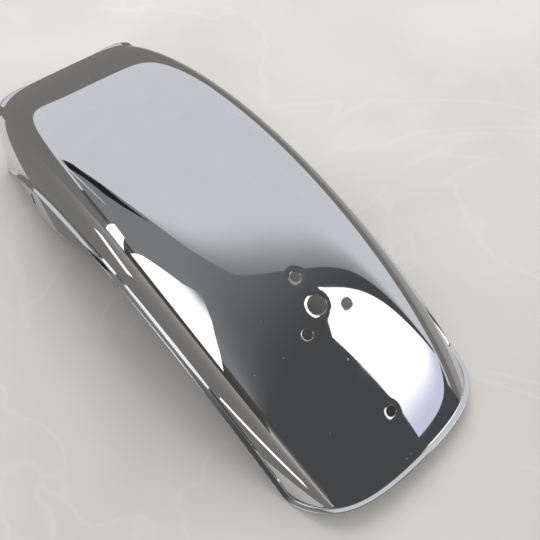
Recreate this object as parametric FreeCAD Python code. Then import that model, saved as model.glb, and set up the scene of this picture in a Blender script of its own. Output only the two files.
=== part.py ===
import FreeCAD
import Part
import math
import os

# Rear mudguard pressed from one chromed steel sheet, in millimetres.
# It lies as on a floor: +X to its front end, +Y to its left, +Z up.

# Arch seen from the side.
arch_radius = 380.0
tail_angle = 39.0
front_angle = 29.0
sheet = 1.2

# Cross-section at the tail end and at the front end.
tail_half_width = 76.0
front_half_width = 85.0
tail_depth = 28.5
front_depth = 53.0
tail_crown = 5.3
front_crown = 1.5
tail_fullness = 6.0
front_fullness = 7.2

# Rounded tail end and out-turned lip.
tail_corner_length = 28.0
tail_corner_fullness = 2.4
lip_width = 3.6
lip_angle = 60.0

# Side tabs that hang from the rim.
tab_flare = 14.0
tab_rear_angle = 4.0
tab_front_angle = -25.5
tab_drop = 29.0
tab_lean = 1.15
tab_sheet = 1.0
tab_hole_angle = -17.5
tab_hole_drop = 17.0
tab_hole_radius = 4.5

# Corner folds at the front end: a thin triangle of sheet turned down on each side.
fold_start = 28.0
fold_end = 60.0
fold_length = 9.0
fold_drop = 2.4

# Lamp holes and plate hole, placed along the crown from the tail end.
lamp_front_hole_at = 137.5
cable_hole_at = 116.0
lamp_pair_at = 105.5
lamp_pair_spacing = 32.5
plate_hole_at = 36.0
bolt_hole_radius = 3.5
cable_hole_radius = 6.2

V = FreeCAD.Vector
section_count = 11
half_points = 12
overrun = 3.0


def blend(a, tail_value, front_value):
    """Value at angle a, running straight from the tail end to the front end."""
    t = (tail_angle - a) / (tail_angle + front_angle)
    return tail_value + (front_value - tail_value) * t


def skin_point(a, u, inset):
    """Point of the section at angle a and part u of its half width, set in from the outer skin."""
    half = blend(a, tail_half_width, front_half_width)
    depth = blend(a, tail_depth, front_depth)
    crown = blend(a, tail_crown, front_crown)
    full = blend(a, tail_fullness, front_fullness)
    drop = crown * u ** 2 + (depth - crown) * abs(u) ** full
    slope = (2 * crown * abs(u) + full * (depth - crown) * abs(u) ** (full - 1)) / half
    run = math.hypot(1.0, slope)
    y = half * u - inset * math.copysign(slope, u) / run
    radius = arch_radius - drop - inset / run
    rad = math.radians(a)
    return V(-radius * math.sin(rad), y, radius * math.cos(rad))


steps = [math.sin(0.5 * math.pi * i / half_points) for i in range(-half_points, half_points + 1)]
arc = tail_angle + front_angle + 2.0 * overrun
angles = [tail_angle + overrun - arc * i / (section_count - 1) for i in range(section_count)]


def skin_curve(a, inset):
    curve = Part.BSplineCurve()
    points = [skin_point(a, u, inset) for u in steps]
    curve.interpolate(Points=points, Parameters=[0.5 + 0.5 * u for u in steps])
    return curve.toShape()


def section_wire(a):
    outer = skin_curve(a, 0.0)
    inner = skin_curve(a, sheet)
    right = Part.makeLine(outer.Vertexes[0].Point, inner.Vertexes[0].Point)
    left = Part.makeLine(outer.Vertexes[1].Point, inner.Vertexes[1].Point)
    return Part.Wire([outer, left, inner, right])


blank = Part.makeLoft([section_wire(a) for a in angles], True, False)

# Rim line on the middle of the sheet: right side, rounded tail, left side.
power = 2.0 / tail_corner_fullness
corner_span = math.degrees(tail_corner_length / arch_radius)


def rim_place(k):
    """Angle and part of the half width; k is beyond 1 on the sides, within 1 round the tail."""
    if abs(k) >= 1.0:
        low = tail_angle - corner_span
        return low - (front_angle + overrun + low) * (abs(k) - 1.0), math.copysign(1.0, k)
    turn = 0.5 * math.pi * k
    part = math.copysign(abs(math.sin(turn)) ** power, k)
    return tail_angle - corner_span * (1.0 - math.cos(turn) ** power), part


def rim_point(k):
    a, u = rim_place(k)
    return skin_point(a, u, 0.5 * sheet)


def even_steps(count):
    """Places round the tail, evenly spaced along the rim."""
    fine = [i / 200.0 for i in range(-200, 201)]
    lengths = [0.0]
    for k, last in zip(fine[1:], fine):
        lengths.append(lengths[-1] + rim_point(k).distanceToPoint(rim_point(last)))
    places = [-1.0]
    for i in range(1, count):
        wanted = lengths[-1] * i / count
        j = max(n for n in range(len(fine)) if lengths[n] <= wanted)
        places.append(fine[j] + (wanted - lengths[j]) / (lengths[j + 1] - lengths[j]) / 200.0)
    return places + [1.0]


tail_steps = even_steps(36)
side_steps = [1.0 + i / 8.0 for i in range(9)]


# Tail trim: a prism through the rim line, square to the crown at the tail end.
rad = math.radians(tail_angle)
tail_out = V(-math.sin(rad), 0, math.cos(rad))
tail_in = V(math.cos(rad), 0, math.sin(rad))
tail_end = skin_point(tail_angle, 0.0, 0.0)


def on_trim_plane(point):
    return point - tail_out * ((point - tail_end).dot(tail_out) + 2.0 * tail_depth)


trim_points = [on_trim_plane(rim_point(k)) for k in tail_steps]
trim_curve = Part.BSplineCurve()
trim_curve.interpolate(trim_points)
aside = V(0, tail_half_width, 0)
back = tail_in * (-3.0 * tail_corner_length)
corners = [
    trim_points[-1],
    trim_points[-1] + aside,
    trim_points[-1] + aside + back,
    trim_points[0] - aside + back,
    trim_points[0] - aside,
    trim_points[0],
]
trim_wire = Part.Wire([trim_curve.toShape()] + Part.makePolygon(corners).Edges)
waste = Part.Face(trim_wire).extrude(tail_out * (3.0 * tail_depth))
body = blank.cut(waste)


# Out-turned lip along both sides and round the tail.
def lip_wire(k):
    a, u = rim_place(k)
    point = rim_point(k)
    along = (rim_point(k + 0.002) - rim_point(k - 0.002)).normalize()
    outward = (skin_point(a, u, 0.0) - point).normalize()
    away = outward.cross(along).normalize()
    outward = along.cross(away).normalize()
    turn = math.radians(lip_angle)
    reach = away * math.cos(turn) + outward * math.sin(turn)
    across = outward * math.cos(turn) - away * math.sin(turn)
    low = point - reach * (0.25 * sheet)
    high = point + reach * lip_width
    half = across * (0.5 * sheet)
    return Part.makePolygon([low - half, high - half, high + half, low + half, low - half])


lips = []
for run in ([-k for k in reversed(side_steps)], tail_steps, side_steps):
    lips.append(Part.makeLoft([lip_wire(k) for k in run], True, False))
lip = lips[0].fuse(lips[1:])
body = body.fuse(lip)


# Side tabs, drawn down from the rim on both sides.
def tab_depth(a):
    t = (tab_rear_angle - a) / (tab_rear_angle - tab_front_angle)
    return tab_drop * math.sin(math.pi * min(max(t, 0.0), 1.0) ** tab_lean)


def tab_wire(a, side):
    rim = skin_point(a, side, 0.5 * sheet)
    flare = math.radians(tab_flare)
    down = V(0, side * math.sin(flare), -math.cos(flare))
    half = V(0, 0.5 * tab_sheet / math.cos(flare), 0)
    top = rim - down * (0.25 * sheet)
    low = rim + down * (0.5 * sheet + tab_depth(a))
    return Part.makePolygon([top - half, low - half, low + half, top + half, top - half])


tab_steps = [i / 12.0 for i in range(0, 13)]
tab_angles = [tab_rear_angle + (tab_front_angle - tab_rear_angle) * t for t in tab_steps]
for side in (-1.0, 1.0):
    tab = Part.makeLoft([tab_wire(a, side) for a in tab_angles], True, False)
    body = body.fuse(tab)


# Holes, each square to the crown; the tab holes run across.
def crown_hole(at, across, radius):
    a = tail_angle - math.degrees(at / arch_radius)
    centre = skin_point(a, 0.0, 0.0)
    out = V(centre.x, 0, centre.z).normalize()
    return Part.makeCylinder(radius, 20.0, centre + V(0, across, 0) - out * 14.0, out)


holes = [
    crown_hole(lamp_front_hole_at, 0.0, bolt_hole_radius),
    crown_hole(cable_hole_at, 0.0, cable_hole_radius),
    crown_hole(lamp_pair_at, 0.5 * lamp_pair_spacing, bolt_hole_radius),
    crown_hole(lamp_pair_at, -0.5 * lamp_pair_spacing, bolt_hole_radius),
    crown_hole(plate_hole_at, 0.0, bolt_hole_radius),
]
for side in (-1.0, 1.0):
    rim = skin_point(tab_hole_angle, side, 0.5 * sheet)
    flare = math.radians(tab_flare)
    centre = rim + V(0, side * math.sin(flare), -math.cos(flare)) * tab_hole_drop
    square = V(0, side * math.cos(flare), math.sin(flare))
    holes.append(Part.makeCylinder(tab_hole_radius, 10.0, centre - square * 5.0, square))
body = body.cut(Part.makeCompound(holes))

# Straight front end, cut in the plane through the arch axis.
block = Part.makeBox(100.0, 400.0, 200.0, V(0, -200.0, arch_radius - 150.0))
block.rotate(V(0, 0, 0), V(0, 1, 0), front_angle)
body = body.cut(block)


# Corner folds: each corner is cut off along its hinge and a turned-down flap takes its place.
def flap_point(behind, across, depth):
    """Point behind the front end, across from the middle and straight below the outer skin."""
    a = math.degrees(behind / arch_radius) - front_angle
    top = skin_point(a, across / blend(a, tail_half_width, front_half_width), 0.0)
    return top - V(top.x, 0, top.z).normalize() * depth


def flap_wire(t, side):
    across = side * (fold_start + (fold_end - fold_start) * t)
    hinge = fold_length * t + 0.5 * sheet
    upper = 0.05 * sheet
    lower = 0.95 * sheet
    corners = [
        flap_point(hinge, across, upper),
        flap_point(0.1 * sheet, across, upper + fold_drop * t),
        flap_point(0.1 * sheet, across, lower + fold_drop * t),
        flap_point(hinge, across, lower),
    ]
    return Part.makePolygon(corners + corners[:1])


front_rad = math.radians(front_angle)
forward = V(math.cos(front_rad), 0, -math.sin(front_rad))
front_out = V(math.sin(front_rad), 0, math.cos(front_rad))
for side in (-1.0, 1.0):
    inner_end = flap_point(0.0, side * fold_start, 0.5 * front_depth)
    outer_end = flap_point(fold_length, side * fold_end, 0.5 * front_depth)
    beyond = forward * (2.0 * fold_length)
    ring = [inner_end, outer_end, outer_end + beyond, inner_end + beyond, inner_end]
    knife = Part.Face(Part.makePolygon(ring)).extrude(front_out * front_depth)
    flap = Part.makeLoft([flap_wire(i / 6.0, side) for i in range(7)], True, False)
    body = body.cut(knife).fuse(flap)
body = body.Solids[0]

# The frame's origin is under the middle of the length, on the floor.
far = 1000.0
floor = Part.makeBox(2 * far, 2 * far, far, V(-far, -far, -far))
ahead = Part.makeBox(far, 2 * far, 2 * far, V(far, -far, -far))
behind = Part.makeBox(far, 2 * far, 2 * far, V(-2 * far, -far, -far))
to_floor = body.distToShape(floor)[0]
to_ahead = body.distToShape(ahead)[0]
to_behind = body.distToShape(behind)[0]
shift = V(0.5 * (to_ahead - to_behind), 0, -to_floor)
body.translate(shift)
os.makedirs("parts", exist_ok=True)
body.exportStep("parts/mudguard.step")
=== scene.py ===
import math

import bmesh
import bpy
import numpy as np
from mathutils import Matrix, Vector


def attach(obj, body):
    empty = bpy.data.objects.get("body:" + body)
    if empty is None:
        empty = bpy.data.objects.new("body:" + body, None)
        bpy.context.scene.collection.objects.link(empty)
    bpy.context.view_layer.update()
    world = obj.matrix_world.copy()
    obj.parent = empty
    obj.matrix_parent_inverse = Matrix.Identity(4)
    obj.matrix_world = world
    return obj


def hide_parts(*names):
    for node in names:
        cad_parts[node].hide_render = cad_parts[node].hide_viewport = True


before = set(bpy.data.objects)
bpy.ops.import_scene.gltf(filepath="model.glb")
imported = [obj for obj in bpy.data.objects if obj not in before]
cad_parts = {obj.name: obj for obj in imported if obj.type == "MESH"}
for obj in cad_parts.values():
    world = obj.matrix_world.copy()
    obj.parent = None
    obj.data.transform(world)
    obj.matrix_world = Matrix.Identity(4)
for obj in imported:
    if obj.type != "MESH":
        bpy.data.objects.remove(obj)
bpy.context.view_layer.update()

# Sizes of the pressed sheet, in metres and radians, as in the part's source.
ARCH_RADIUS = 0.380
TAIL_ANGLE = math.radians(39.0)
FRONT_ANGLE = math.radians(29.0)
SHEET = 0.0012
TAIL_HALF_WIDTH, FRONT_HALF_WIDTH = 0.076, 0.085
TAIL_DEPTH, FRONT_DEPTH = 0.0285, 0.053
TAIL_CROWN, FRONT_CROWN = 0.0053, 0.0015
TAIL_FULLNESS, FRONT_FULLNESS = 6.0, 7.2
TAIL_CORNER_LENGTH, TAIL_CORNER_FULLNESS = 0.028, 2.4
LIP_WIDTH = 0.0036
LIP_ANGLE = math.radians(60.0)
TAB_FLARE = math.radians(14.0)
TAB_REAR_ANGLE, TAB_FRONT_ANGLE = math.radians(4.0), math.radians(-25.5)
TAB_DROP, TAB_LEAN, TAB_SHEET = 0.029, 1.15, 0.001
TAB_HOLE_ANGLE, TAB_HOLE_DROP, TAB_HOLE_RADIUS = math.radians(-17.5), 0.017, 0.0045
LAMP_FRONT_HOLE_AT, CABLE_HOLE_AT, LAMP_PAIR_AT, PLATE_HOLE_AT = 0.1375, 0.1160, 0.1055, 0.0360
LAMP_PAIR_SPACING = 0.0325
BOLT_HOLE_RADIUS, CABLE_HOLE_RADIUS = 0.0035, 0.0062
# Each crown hole: length along the crown from the tail end, place across, radius.
CROWN_HOLES = (
    (LAMP_FRONT_HOLE_AT, 0.0, BOLT_HOLE_RADIUS),
    (CABLE_HOLE_AT, 0.0, CABLE_HOLE_RADIUS),
    (LAMP_PAIR_AT, 0.5 * LAMP_PAIR_SPACING, BOLT_HOLE_RADIUS),
    (LAMP_PAIR_AT, -0.5 * LAMP_PAIR_SPACING, BOLT_HOLE_RADIUS),
    (PLATE_HOLE_AT, 0.0, BOLT_HOLE_RADIUS),
)
# Where the arch axis lies in the part's frame.
AXIS_X, AXIS_Z = 0.029065357, -0.284448147

# Raised front corners, which the solid has turned down: places across, length from the end, rise.
EAR_START, EAR_TIP, EAR_END = 0.028, 0.062, 0.070
EAR_LENGTH, EAR_RISE = 0.009, 0.0028

# Finish of the edges and the skin.
BEND_RADIUS = 0.002
EDGE_ROUND = 0.0004
HOLE_DISH, HOLE_DISH_REACH = 0.00013, 0.0016
RIPPLE, RIPPLE_SCALE, RIPPLE_SEED = 0.00012, 16.0, 3.0
CREASE_ANGLE = math.radians(50.0)

# Fineness of the sheet's mesh.
CELLS_ALONG, CELLS_ACROSS = 200, 150
TAB_CELLS_ALONG, TAB_CELLS_DOWN = 84, 18
BEND_POINTS, LIP_EDGE_POINTS = 7, 9
RIM_SAMPLES, SECTION_SAMPLES = 1500, 2001
TINY_STEP, RIM_STEP = 1e-5, 0.002
HOLE_MARGIN = 0.0026
HOLE_RING_SHARES = (0.3, 0.55, 0.75, 0.9, 1.0)
HOLE_ROUND_SHARES = (0.25, 0.5, 0.75, 1.0)
# Rounded front end: share of the way to the inner skin, and how far it falls back.
FRONT_ROUND = ((0.12, 0.3), (0.5, 0.0), (0.88, 0.3))
# Rows from the front end to a raised corner's hinge, and to where the grid is regular again.
EAR_ROWS, EAR_EASE_ROWS = 5, 16
EAR_LEAST, EAR_EASE_INNER, EAR_EASE_OUTER = 0.0006, 0.014, 0.008
EAR_LEAST_ANGLE = 1e-4


# The flat blank. A vertex holds an angle, a part of the half width and a depth in the sheet.


def blend(a, tail_value, front_value):
    return tail_value + (front_value - tail_value) * (TAIL_ANGLE - a) / (TAIL_ANGLE + FRONT_ANGLE)


def half_width(a):
    return blend(a, TAIL_HALF_WIDTH, FRONT_HALF_WIDTH)


def outer_skin(a, u):
    """Place of the outer skin, used only to measure lengths for the blank."""
    depth, crown = blend(a, TAIL_DEPTH, FRONT_DEPTH), blend(a, TAIL_CROWN, FRONT_CROWN)
    radius = ARCH_RADIUS - crown * u**2
    radius = radius - (depth - crown) * np.abs(u) ** blend(a, TAIL_FULLNESS, FRONT_FULLNESS)
    return np.stack([-radius * np.sin(a), half_width(a) * u, radius * np.cos(a)], axis=-1)


class Blank:
    """Vertices and faces of the sheet before it is pressed."""

    def __init__(self):
        self.place, self.hang, self.aside, self.under, self.faces = [], [], [], [], []

    def vertex(self, a, u, inset, hang=0.0, aside=0.0, under=0.0):
        self.place.append((float(a), float(u), float(inset)))
        self.hang.append(float(hang))
        self.aside.append(float(aside))
        self.under.append(float(under))
        return len(self.place) - 1

    def strip(self, first, second, closed=False):
        """Quads between two rows of equal length, or triangles where the rows meet."""
        count = len(first)
        for n in range(count if closed else count - 1):
            m = (n + 1) % count
            face = list(dict.fromkeys([first[n], first[m], second[m], second[n]]))
            if len(face) > 2:
                self.faces.append(face)

    def strips(self, rows, closed=False):
        for first, second in zip(rows, rows[1:]):
            self.strip(first, second, closed)

    def cells(self, grid, taken):
        """Both skins of a grid, apart from the cells that a hole has taken."""
        for rows in grid:
            for i, j in zip(*np.nonzero(~taken)):
                self.faces.append([rows[i][j], rows[i][j + 1], rows[i + 1][j + 1], rows[i + 1][j]])


# Rim line. Its place k is 0 at the middle of the tail, 1 past a corner and 2 at the front end.
CORNER_SPAN = TAIL_CORNER_LENGTH / ARCH_RADIUS
CORNER_POWER = 2.0 / TAIL_CORNER_FULLNESS
RIM_FRONT = 2.0
GRID_CORNER = 0.75
FRONT_LINE = -FRONT_ANGLE + EDGE_ROUND / ARCH_RADIUS


def rim_place(k):
    """Angle and part of the half width on the rim; k is within 1 round the tail."""
    if abs(k) >= 1.0:
        low = TAIL_ANGLE - CORNER_SPAN
        return low - (FRONT_ANGLE + low) * (abs(k) - 1.0), math.copysign(1.0, k)
    turn = 0.5 * math.pi * k
    part = math.copysign(abs(math.sin(turn)) ** CORNER_POWER, k)
    return TAIL_ANGLE - CORNER_SPAN * (1.0 - math.cos(turn) ** CORNER_POWER), part


def lengths_along(points):
    return np.concatenate([[0.0], np.cumsum(np.linalg.norm(np.diff(points, axis=0), axis=1))])


def even_places(start, end, count):
    """Places along the rim with equal lengths between them."""
    fine = np.linspace(start, end, RIM_SAMPLES)
    length = lengths_along(np.array([outer_skin(*map(np.float64, rim_place(k))) for k in fine]))
    return np.interp(np.linspace(0.0, length[-1], count + 1), length, fine)


def rim_frame(k):
    """Rim place and the step in angle and width that leads a metre off the sheet's edge."""
    a, u = rim_place(k)
    by_angle = (outer_skin(a + TINY_STEP, u) - outer_skin(a - TINY_STEP, u)) / (2 * TINY_STEP)
    by_width = (outer_skin(a, u + TINY_STEP) - outer_skin(a, u - TINY_STEP)) / (2 * TINY_STEP)
    both = by_angle @ by_width
    metric = np.array([[by_angle @ by_angle, both], [both, by_width @ by_width]])
    along = metric @ (np.array(rim_place(k + RIM_STEP)) - np.array(rim_place(k - RIM_STEP)))
    away = np.array([along[1], -along[0]])
    return np.array([a, u]), away / math.sqrt(away @ metric @ away)


# Parts of the half width and the shares of the middle section's length that lie within them.
section_parts = np.linspace(0.0, 1.0, SECTION_SAMPLES)
middle_angles = np.full_like(section_parts, 0.5 * (TAIL_ANGLE - FRONT_ANGLE))
section_shares = lengths_along(outer_skin(middle_angles, section_parts))
section_shares /= section_shares[-1]


def share_of_length(u):
    return np.sign(u) * np.interp(np.abs(u), section_parts, section_shares)


def part_of_width(share):
    return np.sign(share) * np.interp(np.abs(share), section_shares, section_parts)


def lip_profile():
    """Points off the edge and out of the sheet, from the outer skin over the lip to the inner skin."""
    half = 0.5 * SHEET
    start = BEND_RADIUS * math.tan(0.5 * LIP_ANGLE)
    turns = np.linspace(0.0, LIP_ANGLE, BEND_POINTS)

    def bend(radius):
        return [(radius * math.sin(t) - start, BEND_RADIUS - radius * math.cos(t)) for t in turns]

    reach = np.array([math.cos(LIP_ANGLE), math.sin(LIP_ANGLE)])
    across = np.array([-math.sin(LIP_ANGLE), math.cos(LIP_ANGLE)])
    centre = reach * (LIP_WIDTH - half)
    edge = [
        tuple(centre + across * half * math.cos(t) + reach * half * math.sin(t))
        for t in np.linspace(0.0, math.pi, LIP_EDGE_POINTS)
    ]
    return start, bend(BEND_RADIUS - half) + edge + bend(BEND_RADIUS + half)[::-1]


def shaped(a, u, inset):
    """Depth in the sheet with the raised front corners and the sheet drawn in round the holes."""
    across = u * half_width(a)
    hinge = np.interp(abs(across), (EAR_START, EAR_TIP, EAR_END), (0.0, EAR_LENGTH, 0.0))
    ahead = max(hinge - (a + FRONT_ANGLE) * ARCH_RADIUS, 0.0)
    extra = -EAR_RISE * ahead / EAR_LENGTH
    for hole_at, hole_across, radius in CROWN_HOLES:
        along = (a - TAIL_ANGLE) * ARCH_RADIUS + hole_at
        gap = math.hypot(along, across - hole_across) - radius
        extra += HOLE_DISH * math.exp(-((max(gap, 0.0) / HOLE_DISH_REACH) ** 2))
    return inset + extra


def way_towards(point):
    turn = math.atan2(point[1], point[0])
    return np.array([math.cos(turn), math.sin(turn)])


def punch(blank, grid, taken, local, to_blank, radius):
    """Opens a round hole in a grid of two skins; local gives flat lengths from the hole's centre."""
    margin = radius + HOLE_MARGIN
    near = (np.abs(local[..., 0]) < margin) & (np.abs(local[..., 1]) < margin)
    i_all, j_all = np.nonzero(near)
    i0, i1, j0, j1 = i_all.min(), i_all.max(), j_all.min(), j_all.max()
    taken[i0:i1, j0:j1] = True
    loop = [(i0, j) for j in range(j0, j1)] + [(i, j1) for i in range(i0, i1)]
    loop += [(i1, j) for j in range(j1, j0, -1)] + [(i, j0) for i in range(i1, i0, -1)]
    edge = [np.array(local[i, j]) for i, j in loop]
    ways = [way_towards(p) for p in edge]
    rim = [way * (radius + EDGE_ROUND) for way in ways]
    bores = []
    for skin in (0, 1):
        rings = [[grid[skin][i][j] for i, j in loop]]
        for share in HOLE_RING_SHARES:
            rings.append([to_blank(p + (q - p) * share, skin, 0.0) for p, q in zip(edge, rim)])
        for share in HOLE_ROUND_SHARES:
            out = radius + EDGE_ROUND * (1.0 - math.sin(0.5 * math.pi * share))
            deep = EDGE_ROUND * (1.0 - math.cos(0.5 * math.pi * share))
            rings.append([to_blank(way * out, skin, deep) for way in ways])
        blank.strips(rings, closed=True)
        bores.append(rings[-1])
    blank.strips(bores, closed=True)


def align_ears(angle, part):
    """Moves rows and columns at the front end onto the hinges and tips of the raised corners."""
    across = np.abs(part[0]) * FRONT_HALF_WIDTH
    marks = (EAR_START - EAR_EASE_INNER, EAR_START, EAR_TIP, EAR_END, EAR_END + EAR_EASE_OUTER)
    for j in range(part.shape[1]):
        regular = (angle[EAR_ROWS, j] + FRONT_ANGLE) * ARCH_RADIUS
        lengths = (regular, EAR_LEAST, EAR_LENGTH, EAR_LEAST, regular)
        hinge = np.interp(across[j], marks, lengths)
        start, end = angle[0, j], angle[EAR_EASE_ROWS, j]
        middle = max(hinge / ARCH_RADIUS - FRONT_ANGLE, start + EAR_LEAST_ANGLE)
        angle[: EAR_ROWS + 1, j] = np.linspace(start, middle, EAR_ROWS + 1)
        behind = np.linspace(middle, end, EAR_EASE_ROWS - EAR_ROWS + 1)
        angle[EAR_ROWS : EAR_EASE_ROWS + 1, j] = behind
    for side in (-1, 1):
        tip = int(np.argmin(np.abs(part[0] * FRONT_HALF_WIDTH - side * EAR_TIP)))
        for i in range(EAR_EASE_ROWS):
            ease = min(1.0, (EAR_EASE_ROWS - i) / (EAR_EASE_ROWS - EAR_ROWS))
            part[i, tip] += (side * EAR_TIP / half_width(angle[i, tip]) - part[i, tip]) * ease


def skin_places(side, tail, lip_start):
    """Angles and parts of the half width over the skin, filled in from its four borders."""

    def border(k):
        place, away = rim_frame(k)
        place = place - away * lip_start
        return place[0], share_of_length(place[1])

    right = np.array([border(k) for k in side])
    left = np.array([border(-k) for k in side])
    end = np.array([border(k) for k in tail])
    right[0, 0] = left[0, 0] = FRONT_LINE
    v = np.linspace(0.0, 1.0, CELLS_ALONG + 1)[:, None, None]
    w = np.linspace(0.0, 1.0, CELLS_ACROSS + 1)[None, :, None]
    front = right[0] + (left[0] - right[0]) * w[0]
    patch = (1 - v) * front[None] + v * end[None] + (1 - w) * right[:, None] + w * left[:, None]
    patch -= (1 - v) * ((1 - w) * right[0] + w * left[0]) + v * ((1 - w) * right[-1] + w * left[-1])
    angle, part = patch[..., 0], part_of_width(patch[..., 1])
    align_ears(angle, part)
    return angle, part


def lay_lip(blank, grid, side, tail, profile):
    """Carries the lip's profile along the rim, from the right front corner round the tail to the left."""
    places = list(side) + list(tail[1:-1]) + [-k for k in side[::-1]]
    ways = [(i, 0) for i in range(CELLS_ALONG + 1)]
    ways += [(CELLS_ALONG, j) for j in range(1, CELLS_ACROSS)]
    ways += [(i, CELLS_ACROSS) for i in range(CELLS_ALONG, -1, -1)]
    bands = []
    for k, (i, j) in zip(places, ways):
        place, away = rim_frame(k)
        band = [grid[0][i][j]]
        for off, out in profile[1:-1]:
            a, u = place + away * off
            a = FRONT_LINE if i == 0 else a
            band.append(blank.vertex(a, u, 0.5 * SHEET - out))
        band.append(grid[1][i][j])
        bands.append(band)
    blank.strips(bands)
    return bands


def close_front(blank, grid, bands):
    """Rounds the front end between each outer vertex and the inner one under it."""
    last = len(bands[0]) - 1
    tip = last // 2
    pairs = [(bands[0][n], bands[0][last - n]) for n in range(tip, 0, -1)]
    pairs += list(zip(grid[0][0], grid[1][0]))
    pairs += [(bands[-1][n], bands[-1][last - n]) for n in range(1, tip + 1)]
    columns = []
    for top, low in pairs:
        if top == low:
            columns.append([top] * (len(FRONT_ROUND) + 2))
            continue
        column = [top]
        for share, back in FRONT_ROUND:
            p = np.array(blank.place[top]) * (1 - share) + np.array(blank.place[low]) * share
            a = -FRONT_ANGLE + back * EDGE_ROUND / ARCH_RADIUS
            column.append(blank.vertex(a, p[1], p[2], under=share))
        columns.append(column + [low])
    blank.strips(columns)


def lay_skin(blank):
    """Both skins of the sheet with the holes, the lip round them and the closed front end."""
    lip_start, profile = lip_profile()
    side = even_places(-RIM_FRONT, -GRID_CORNER, CELLS_ALONG)
    tail = even_places(-GRID_CORNER, GRID_CORNER, CELLS_ACROSS)
    angle, part = skin_places(side, tail, lip_start)
    grid = []
    for inset in (0.0, SHEET):
        rows = [
            [blank.vertex(a, u, shaped(a, u, inset), under=inset / SHEET) for a, u in zip(*row)]
            for row in zip(angle, part)
        ]
        grid.append(rows)

    taken = np.zeros((CELLS_ALONG, CELLS_ACROSS), bool)
    for at, across, radius in CROWN_HOLES:
        centre = TAIL_ANGLE - at / ARCH_RADIUS
        local = np.stack([(angle - centre) * ARCH_RADIUS, part * half_width(angle) - across], axis=-1)

        def to_blank(p, skin, deep, centre=centre, across=across):
            a = centre + p[0] / ARCH_RADIUS
            u = (across + p[1]) / half_width(a)
            inset = SHEET - deep if skin else deep
            return blank.vertex(a, u, shaped(a, u, inset), under=skin)

        punch(blank, grid, taken, local, to_blank, radius)
    blank.cells(grid, taken)
    close_front(blank, grid, lay_lip(blank, grid, side, tail, profile))


def lay_tab(blank, side):
    """One side tab: a crescent that hangs from the rim, with its hole."""
    share = np.linspace(0.0, 1.0, TAB_CELLS_ALONG + 1)
    angles = TAB_REAR_ANGLE + (TAB_FRONT_ANGLE - TAB_REAR_ANGLE) * share
    depths = 0.5 * SHEET + TAB_DROP * np.sin(math.pi * share**TAB_LEAN)
    down = np.linspace(0.0, 1.0, TAB_CELLS_DOWN + 1)
    half = 0.5 * TAB_SHEET
    hang = (depths[:, None] - half) * down[None, :]
    grid = []
    for skin, aside in ((0, half), (1, -half)):
        rows = [
            [blank.vertex(a, side, 0.5 * SHEET, drop, aside, skin) for drop in row]
            for a, row in zip(angles, hang)
        ]
        grid.append(rows)

    rim = outer_skin(angles, np.full_like(angles, side))
    hole = outer_skin(np.float64(TAB_HOLE_ANGLE), np.float64(side))
    rise = math.cos(TAB_FLARE)
    local = np.empty(hang.shape + (2,))
    local[..., 0] = (rim[:, 0] - hole[0])[:, None]
    local[..., 1] = hang - TAB_HOLE_DROP - ((rim[:, 2] - hole[2]) / rise)[:, None]

    def to_blank(p, skin, deep):
        a = np.interp(p[0] + hole[0], rim[:, 0], angles)
        z = np.interp(p[0] + hole[0], rim[:, 0], rim[:, 2])
        drop = p[1] + TAB_HOLE_DROP + (z - hole[2]) / rise
        aside = (half - deep) * (-1.0 if skin else 1.0)
        return blank.vertex(a, side, 0.5 * SHEET, drop, aside, skin)

    taken = np.zeros((TAB_CELLS_ALONG, TAB_CELLS_DOWN), bool)
    punch(blank, grid, taken, local, to_blank, TAB_HOLE_RADIUS)
    blank.cells(grid, taken)

    # Rounded lower edge, and the edges that lie inside the rim.
    count = range(len(angles))
    edge = [[grid[0][i][-1] for i in count]]
    for turn in (0.25 * math.pi, 0.5 * math.pi, 0.75 * math.pi):
        low = depths - half + half * math.sin(turn)
        out = half * math.cos(turn)
        edge.append([blank.vertex(angles[i], side, 0.5 * SHEET, low[i], out, 0.5) for i in count])
    edge.append([grid[1][i][-1] for i in count])
    blank.strips(edge)
    blank.strip([grid[0][i][0] for i in count], [grid[1][i][0] for i in count])
    for i in (0, TAB_CELLS_ALONG):
        blank.faces.append(grid[0][i] + [row[i] for row in edge[1:-1]] + grid[1][i][::-1])


def flat_blank():
    blank = Blank()
    lay_skin(blank)
    for side in (-1.0, 1.0):
        lay_tab(blank, side)
    mesh = bpy.data.meshes.new("mudguard_sheet")
    mesh.from_pydata(blank.place, [], blank.faces)
    for name, values in (("hang", blank.hang), ("aside", blank.aside), ("underside", blank.under)):
        layer = mesh.attributes.new(name, "FLOAT", "POINT")
        layer.data.foreach_set("value", values)
    mesh.shade_smooth()
    return mesh


# The press: a node tree that draws the flat blank over the arch.


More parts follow.
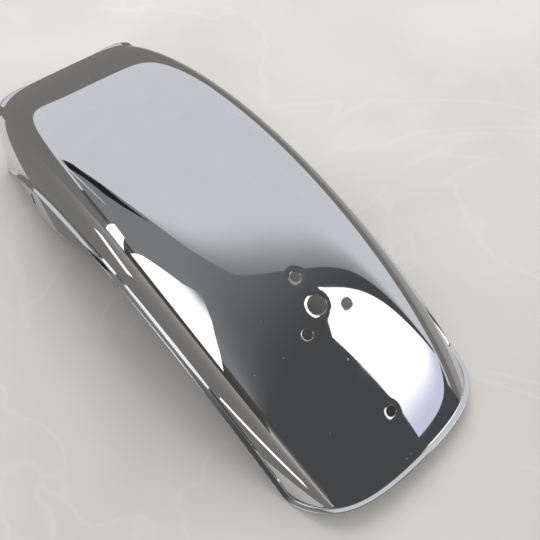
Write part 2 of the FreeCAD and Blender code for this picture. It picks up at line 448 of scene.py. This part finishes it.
def press_tree():
    tree = bpy.data.node_groups.new("press_over_arch", "GeometryNodeTree")
    face = tree.interface
    face.new_socket("Geometry", in_out="INPUT", socket_type="NodeSocketGeometry")
    sizes = {
        "Arch Radius": ARCH_RADIUS,
        "Tail Angle": TAIL_ANGLE,
        "Front Angle": FRONT_ANGLE,
        "Tail Half Width": TAIL_HALF_WIDTH,
        "Front Half Width": FRONT_HALF_WIDTH,
        "Tail Depth": TAIL_DEPTH,
        "Front Depth": FRONT_DEPTH,
        "Tail Crown": TAIL_CROWN,
        "Front Crown": FRONT_CROWN,
        "Tail Fullness": TAIL_FULLNESS,
        "Front Fullness": FRONT_FULLNESS,
        "Tab Flare": TAB_FLARE,
        "Ripple": RIPPLE,
        "Axis X": AXIS_X,
        "Axis Z": AXIS_Z,
    }
    for name in sizes:
        face.new_socket(name, in_out="INPUT", socket_type="NodeSocketFloat")
    face.new_socket("Finish", in_out="INPUT", socket_type="NodeSocketMaterial")
    face.new_socket("Geometry", in_out="OUTPUT", socket_type="NodeSocketGeometry")
    nodes, links = tree.nodes, tree.links
    given = nodes.new("NodeGroupInput").outputs

    def calc(operation, *values):
        node = nodes.new("ShaderNodeMath")
        node.operation = operation
        for socket, value in zip(node.inputs, values):
            if isinstance(value, (int, float)):
                socket.default_value = value
            else:
                links.new(value, socket)
        return node.outputs[0]

    def attribute(name):
        node = nodes.new("GeometryNodeInputNamedAttribute")
        node.data_type = "FLOAT"
        node.inputs["Name"].default_value = name
        return node.outputs["Attribute"]

    place = nodes.new("ShaderNodeSeparateXYZ")
    links.new(nodes.new("GeometryNodeInputPosition").outputs[0], place.inputs[0])
    a, u, inset = place.outputs
    span = calc("ADD", given["Tail Angle"], given["Front Angle"])
    share = calc("DIVIDE", calc("SUBTRACT", given["Tail Angle"], a), span)

    def between(name):
        tail, front = given["Tail " + name], given["Front " + name]
        return calc("MULTIPLY_ADD", calc("SUBTRACT", front, tail), share, tail)

    half, depth, crown, full = map(between, ("Half Width", "Depth", "Crown", "Fullness"))
    size_u, side = calc("ABSOLUTE", u), calc("SIGN", u)
    wall = calc("SUBTRACT", depth, crown)
    drop = calc("MULTIPLY", wall, calc("POWER", size_u, full))
    drop = calc("MULTIPLY_ADD", crown, calc("MULTIPLY", u, u), drop)
    steep = calc("POWER", size_u, calc("SUBTRACT", full, 1.0))
    rise = calc("MULTIPLY", calc("MULTIPLY", full, wall), steep)
    rise = calc("MULTIPLY_ADD", calc("MULTIPLY", crown, 2.0), size_u, rise)
    slope = calc("DIVIDE", rise, half)
    run = calc("SQRT", calc("MULTIPLY_ADD", slope, slope, 1.0))

    # Slow unevenness of a hand-polished sheet, only ever inwards.
    spot = nodes.new("ShaderNodeCombineXYZ")
    links.new(calc("MULTIPLY", a, given["Arch Radius"]), spot.inputs[0])
    links.new(calc("MULTIPLY", u, half), spot.inputs[1])
    unevenness = nodes.new("ShaderNodeTexNoise")
    unevenness.noise_dimensions = "4D"
    unevenness.inputs["W"].default_value = RIPPLE_SEED
    unevenness.inputs["Scale"].default_value = RIPPLE_SCALE
    unevenness.inputs["Detail"].default_value = 1.0
    links.new(spot.outputs[0], unevenness.inputs["Vector"])
    inset = calc("MULTIPLY_ADD", given["Ripple"], unevenness.outputs[0], inset)

    off = calc("DIVIDE", inset, run)
    radius = calc("SUBTRACT", calc("SUBTRACT", given["Arch Radius"], drop), off)
    x = calc("MULTIPLY_ADD", calc("MULTIPLY", radius, -1.0), calc("SINE", a), given["Axis X"])
    inwards = calc("MULTIPLY", slope, -1.0)
    y = calc("MULTIPLY_ADD", off, inwards, calc("MULTIPLY", size_u, half))
    y = calc("MULTIPLY", side, y)
    z = calc("MULTIPLY_ADD", radius, calc("COSINE", a), given["Axis Z"])

    # The tabs leave the pressed rim downwards and flare outwards.
    hang, aside = attribute("hang"), attribute("aside")
    lean, upright = calc("SINE", given["Tab Flare"]), calc("COSINE", given["Tab Flare"])
    spread = calc("MULTIPLY_ADD", hang, lean, calc("MULTIPLY", aside, upright))
    y = calc("MULTIPLY_ADD", side, spread, y)
    fall = calc("SUBTRACT", calc("MULTIPLY", aside, lean), calc("MULTIPLY", hang, upright))
    z = calc("ADD", z, fall)

    pressed = nodes.new("ShaderNodeCombineXYZ")
    for socket, value in zip(pressed.inputs, (x, y, z)):
        links.new(value, socket)
    move = nodes.new("GeometryNodeSetPosition")
    realize = nodes.new("GeometryNodeRealizeInstances")
    finish = nodes.new("GeometryNodeSetMaterial")
    links.new(given["Geometry"], move.inputs["Geometry"])
    links.new(pressed.outputs[0], move.inputs["Position"])
    links.new(move.outputs[0], realize.inputs[0])
    links.new(realize.outputs[0], finish.inputs["Geometry"])
    links.new(given["Finish"], finish.inputs["Material"])
    links.new(finish.outputs[0], nodes.new("NodeGroupOutput").inputs[0])
    return tree, sizes


def pressed_sheet(finish):
    raw = bpy.data.objects.new("blank", flat_blank())
    bpy.context.scene.collection.objects.link(raw)
    tree, sizes = press_tree()
    press = raw.modifiers.new("press", "NODES")
    press.node_group = tree
    for item in tree.interface.items_tree:
        if item.in_out == "INPUT" and item.name in sizes:
            press[item.identifier] = sizes[item.name]
        if item.name == "Finish":
            press[item.identifier] = finish
    graph = bpy.context.evaluated_depsgraph_get()
    mesh = bpy.data.meshes.new_from_object(raw.evaluated_get(graph), depsgraph=graph)
    mesh.name = "mudguard_sheet"
    raw.modifiers.remove(press)
    bpy.data.objects.remove(raw)
    shell = bmesh.new()
    shell.from_mesh(mesh)
    bmesh.ops.recalc_face_normals(shell, faces=shell.faces)
    shell.to_mesh(mesh)
    shell.free()
    mesh.set_sharp_from_angle(angle=CREASE_ANGLE)
    sheet = bpy.data.objects.new("mudguard_sheet", mesh)
    bpy.context.scene.collection.objects.link(sheet)
    return sheet


# Finishes.

# Sockets of Blender's mix node for each kind of value: the first of the two inputs, and the result.
MIX_FIRST = {"FLOAT": 2, "RGBA": 6}
MIX_RESULT = {"FLOAT": 0, "RGBA": 2}


def new_finish(name):
    material = bpy.data.materials.new(name)
    material.use_nodes = True
    return material, material.node_tree, material.node_tree.nodes["Principled BSDF"]


def object_place(tree):
    return tree.nodes.new("ShaderNodeTexCoord").outputs["Object"]


def noise(tree, where, scale, detail, distortion=0.0):
    node = tree.nodes.new("ShaderNodeTexNoise")
    node.inputs["Scale"].default_value = scale
    node.inputs["Detail"].default_value = detail
    node.inputs["Distortion"].default_value = distortion
    tree.links.new(where, node.inputs["Vector"])
    return node.outputs["Fac"]


def ramp(tree, value, low, high, interpolation="LINEAR"):
    """Runs from low to high, each a value of the input and the result there."""
    node = tree.nodes.new("ShaderNodeMapRange")
    node.interpolation_type = interpolation
    node.inputs["From Min"].default_value, node.inputs["To Min"].default_value = low
    node.inputs["From Max"].default_value, node.inputs["To Max"].default_value = high
    tree.links.new(value, node.inputs["Value"])
    return node.outputs["Result"]


def mix(tree, kind, factor, first, second):
    node = tree.nodes.new("ShaderNodeMix")
    node.data_type = kind
    tree.links.new(factor, node.inputs[0])
    for index, value in enumerate((first, second), MIX_FIRST[kind]):
        if isinstance(value, bpy.types.NodeSocket):
            tree.links.new(value, node.inputs[index])
        else:
            node.inputs[index].default_value = (*value, 1.0) if kind == "RGBA" else value
    return node.outputs[MIX_RESULT[kind]]


def polished_chrome():
    """Chrome with a faint haze and a few specks of dust; rougher on the underside, and painted darker
    there as painted shade under the sheet.
    """
    material, tree, shader = new_finish("polished_chrome")
    shader.inputs["Metallic"].default_value = 1.0
    where = object_place(tree)
    underside = tree.nodes.new("ShaderNodeAttribute")
    underside.attribute_name = "underside"
    underside = underside.outputs["Fac"]

    cloud = noise(tree, where, scale=55.0, detail=3.0)
    tint = mix(tree, "RGBA", cloud, (0.66, 0.665, 0.675), (0.71, 0.715, 0.72))
    # The underside is painted dark: painted shade under the sheet, seen through the holes and at the
    # front end.
    tint = mix(tree, "RGBA", underside, tint, (0.19, 0.19, 0.185))
    haze = ramp(tree, cloud, low=(0.35, 0.015), high=(0.75, 0.055))
    haze = mix(tree, "FLOAT", underside, haze, 0.42)

    specks = tree.nodes.new("ShaderNodeTexVoronoi")
    specks.inputs["Scale"].default_value = 130.0
    tree.links.new(where, specks.inputs["Vector"])
    dot = ramp(tree, specks.outputs["Distance"], low=(0.045, 1.0), high=(0.075, 0.0))
    few = ramp(tree, noise(tree, where, scale=90.0, detail=2.0), low=(0.56, 0.0), high=(0.62, 1.0))
    dust = tree.nodes.new("ShaderNodeMath")
    dust.operation = "MULTIPLY"
    tree.links.new(few, dust.inputs[0])
    tree.links.new(dot, dust.inputs[1])
    tint = mix(tree, "RGBA", dust.outputs[0], tint, (0.9, 0.9, 0.88))
    haze = mix(tree, "FLOAT", dust.outputs[0], haze, 0.6)
    tree.links.new(tint, shader.inputs["Base Color"])
    tree.links.new(haze, shader.inputs["Roughness"])
    return material


def pale_floor():
    """Matt stone with slow clouds and faint veins."""
    material, tree, shader = new_finish("pale_floor")
    shader.inputs["Roughness"].default_value = 0.8
    shader.inputs["Specular IOR Level"].default_value = 0.0
    where = object_place(tree)

    def tones(value, *stops):
        node = tree.nodes.new("ShaderNodeValToRGB")
        while len(node.color_ramp.elements) < len(stops):
            node.color_ramp.elements.new(0.5)
        for element, (position, colour) in zip(node.color_ramp.elements, stops):
            element.position, element.color = position, (*colour, 1.0)
        tree.links.new(value, node.inputs[0])
        return node.outputs[0]

    cloud = noise(tree, where, scale=5.0, detail=4.0, distortion=0.6)
    cloud = tones(cloud, (0.3, (0.60, 0.578, 0.548)), (0.7, (0.68, 0.662, 0.635)))
    none, faint = (0.0, 0.0, 0.0), (0.16, 0.16, 0.16)
    vein = noise(tree, where, scale=2.4, detail=4.0, distortion=1.2)
    vein = tones(vein, (0.492, none), (0.5, faint), (0.508, none))
    stone = mix(tree, "RGBA", vein, cloud, (0.80, 0.79, 0.77))
    tree.links.new(stone, shader.inputs["Base Color"])
    return material


# Object.
sheet = pressed_sheet(polished_chrome())
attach(sheet, "root")
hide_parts("mudguard")


# Stage.
scene = bpy.context.scene
scene.view_settings.view_transform = "Standard"

FLOOR_REACH, FLOOR_GAP = 3.0, 0.0002


def flat_piece(name, corners, finish):
    mesh = bpy.data.meshes.new(name)
    mesh.from_pydata(corners, [], [list(range(len(corners)))])
    mesh.materials.append(finish)
    item = bpy.data.objects.new(name, mesh)
    scene.collection.objects.link(item)
    return item


def upright_x(x, *places):
    return [(x, y, z) for y, z in places]


def upright_y(y, *places):
    return [(x, y, z) for x, z in places]


def level(z, *places):
    return [(x, y, z) for x, y in places]


def square(reach):
    return [(-reach, -reach), (reach, -reach), (reach, reach), (-reach, reach)]


flat_piece("floor", level(-FLOOR_GAP, *square(FLOOR_REACH)), pale_floor())


def card_finish(name, colours, way, span):
    """Even glow in one colour, or running between two along one way through the room."""
    material, tree, shader = new_finish(name)
    tree.nodes.remove(shader)
    glow = tree.nodes.new("ShaderNodeEmission")
    tree.links.new(glow.outputs[0], tree.nodes["Material Output"].inputs["Surface"])
    if len(colours) == 1:
        glow.inputs["Color"].default_value = (*colours[0], 1.0)
        return material
    along = tree.nodes.new("ShaderNodeVectorMath")
    along.operation = "DOT_PRODUCT"
    along.inputs[1].default_value = way
    tree.links.new(object_place(tree), along.inputs[0])
    share = ramp(tree, along.outputs["Value"], (span[0], 0.0), (span[1], 1.0), "SMOOTHSTEP")
    tree.links.new(mix(tree, "RGBA", share, *colours), glow.inputs["Color"])
    return material


def card(name, corners, *colours, way=(0.0, 0.0, 1.0), span=(0.0, 1.0)):
    """Board of the reflection tent, which only polished metal sees."""
    item = flat_piece(name, corners, card_finish(name, colours, way, span))
    item.visible_camera = item.visible_diffuse = item.visible_shadow = False
    item.visible_transmission = item.visible_volume_scatter = False


# Reflection tent: pale towards the front and right, dark towards the tail and left.
PALE, SHADE, DARK = (0.77, 0.785, 0.83), (0.225, 0.215, 0.20), (0.085, 0.087, 0.09)
MIDDLE, GREY, BROWN = (0.40, 0.395, 0.385), (0.26, 0.265, 0.27), (0.09, 0.075, 0.06)
WHITE, LAVENDER, BLACK = (1.9, 1.9, 1.95), (0.80, 0.81, 1.0), (0.02, 0.021, 0.023)
FAR = 9.0
TOP = 1.5
ROOF, FRINGE = TOP + 0.1, TOP - 0.01
# Height of the dark floor boards, which put painted shade into the floor's reflection.
SHADE_BOARD_HEIGHT = 0.0004
GLINT = 2.0 * SHADE_BOARD_HEIGHT
SHADE_BOARD_FRONT, SHADE_BOARD_SIDE = 0.30, 0.1
NEAR_LEFT, NEAR_BACK, FAR_LEFT = 0.55, -0.6, 2.4
FOOT_LEFT = NEAR_LEFT + 0.01

# Roof and walls of the tent.
wall = [(-FAR, 0.0), (FAR, 0.0), (FAR, ROOF), (-FAR, ROOF)]
pale_corners = [(-0.15, -0.25), (FAR, 5.96), (FAR, -FAR), (-6.0, -FAR)]
card("top_dark", level(ROOF, *square(FAR)), DARK, GREY, way=(1.0, 0.3, 0.0), span=(-1.2, 0.5))
card("top_pale", level(TOP, *pale_corners), GREY, PALE, way=(0.8, -0.6, 0.0), span=(-0.02, 0.5))
card("wall_front", upright_x(FAR, *wall), SHADE, PALE, span=(0.75, 0.85))
card("wall_right", upright_y(-FAR, *wall), SHADE, PALE, span=(1.0, 1.3))
card("wall_back", upright_x(-FAR, *wall), DARK)
card("wall_left", upright_y(FAR, *wall), SHADE, DARK)

# Dark boards on the floor round the sheet that only the chrome sees: a painted reflection of shaded
# floor.
front_shade_board = [(SHADE_BOARD_FRONT, -FAR), (FAR, -FAR), (FAR, FAR), (SHADE_BOARD_FRONT, FAR)]
right_shade_board = [(-FAR, -FAR), (SHADE_BOARD_FRONT, -FAR), (SHADE_BOARD_FRONT, -SHADE_BOARD_SIDE), (-FAR, -SHADE_BOARD_SIDE)]
left_shade_board = [(-0.4, SHADE_BOARD_SIDE), (SHADE_BOARD_FRONT, SHADE_BOARD_SIDE), (SHADE_BOARD_FRONT, NEAR_LEFT), (-0.4, NEAR_LEFT)]
card("painted_floor_shade_front", level(SHADE_BOARD_HEIGHT, *front_shade_board), SHADE)
card("painted_floor_shade_right", level(SHADE_BOARD_HEIGHT, *right_shade_board), MIDDLE, SHADE, way=(0.0, -1.0, 0.0), span=(0.1, 0.5))
card("painted_floor_shade_left", level(SHADE_BOARD_HEIGHT, *left_shade_board), SHADE, MIDDLE, way=(0.0, 1.0, 0.0), span=(0.12, 0.5))

# Bright and dark boards near the sheet.
window_corners = [(-0.17, 0.13), (-0.66, 0.13), (-0.64, 1.42), (-0.3, 0.75)]
door_corners = [(0.24, 0.08), (0.20, 0.25), (0.03, 0.68), (-0.10, 1.25)]
door_corners += [(-0.16, 0.62), (-0.14, 0.2), (-0.12, 0.05)]
pane_corners = [(0.27, 0.02), (0.36, 0.02), (0.34, 0.22), (0.28, 0.20)]
foot_corners = [(-0.3, 0.0), (0.3, 0.0), (0.3, 0.09), (-0.3, 0.09)]
card("window", upright_x(NEAR_BACK, *window_corners), LAVENDER, WHITE, span=(0.15, 0.32))
card("door_left", upright_y(NEAR_LEFT, *door_corners), WHITE, GREY, span=(0.3, 1.15))
card("pane_left", upright_y(NEAR_LEFT, *pane_corners), WHITE)
card("foot_left", upright_y(FOOT_LEFT, *foot_corners), BROWN)

# Streak and fringe along the left edge of the pale roof, and glints low beside the rim.
streak_corners = [(3.6, 0.4), (3.6, 0.55), (2.9, 0.97), (2.25, 1.48), (2.1, 1.48), (2.8, 0.82)]
fringe_corners = [(0.62, 0.36), (1.1, 0.70), (1.6, 0.98), (2.4, 1.56), (3.4, 2.1), (6.0, 3.9)]
fringe_corners += [(6.5, 4.9), (3.6, 2.75), (2.5, 1.95), (1.6, 1.35), (1.05, 0.84)]
side_glint = [(0.06, 0.19), (0.15, 0.215), (0.15, 0.24), (0.06, 0.21)]
tail_glint = [(-0.21, 0.125), (-0.1, 0.131), (-0.1, 0.137), (-0.21, 0.14)]
card("streak_left", upright_y(FAR_LEFT, *streak_corners), PALE)
card("fringe_left", level(FRINGE, *fringe_corners), BLACK)
card("glint_side", level(GLINT, *side_glint), WHITE)
card("glint_tail", level(GLINT, *tail_glint), WHITE)

# Even light of the room, and one soft key light.
world = bpy.data.worlds.new("studio")
world.use_nodes = True
scene.world = world
room = world.node_tree.nodes["Background"]
room.inputs["Color"].default_value = (0.73, 0.72, 0.715, 1.0)
room.inputs["Strength"].default_value = 1.0


def soft_box(name, place, size, power):
    """Square soft light that faces the object and that the chrome doesn't show."""
    lamp = bpy.data.lights.new(name, "AREA")
    lamp.shape = "RECTANGLE"
    lamp.size = lamp.size_y = size
    lamp.energy = power
    item = bpy.data.objects.new(name, lamp)
    item.location = place
    item.rotation_mode = "QUATERNION"
    item.rotation_quaternion = (-Vector(place)).to_track_quat("-Z", "Y")
    item.visible_glossy = False
    scene.collection.objects.link(item)


soft_box("key", place=(0.9, -0.9, 1.3), size=1.2, power=20.0)

# Camera at the photograph's angle, with the frame taken as square.
CAMERA_PLACE = Vector((-0.2095, 0.1217, 0.3591))
CAMERA_LOOK = Vector((0.4006, -0.3397, -0.8510))
FOCAL_PIXELS, PHOTO_PIXELS = 541.0, 540.0
SENSOR_WIDTH = 36.0
lens = bpy.data.cameras.new("camera")
lens.lens = SENSOR_WIDTH * FOCAL_PIXELS / PHOTO_PIXELS
lens.sensor_width = SENSOR_WIDTH
lens.clip_start = 0.01
camera = bpy.data.objects.new("camera", lens)
camera.location = CAMERA_PLACE
camera.rotation_mode = "QUATERNION"
camera.rotation_quaternion = CAMERA_LOOK.to_track_quat("-Z", "Y")
scene.collection.objects.link(camera)
scene.camera = camera
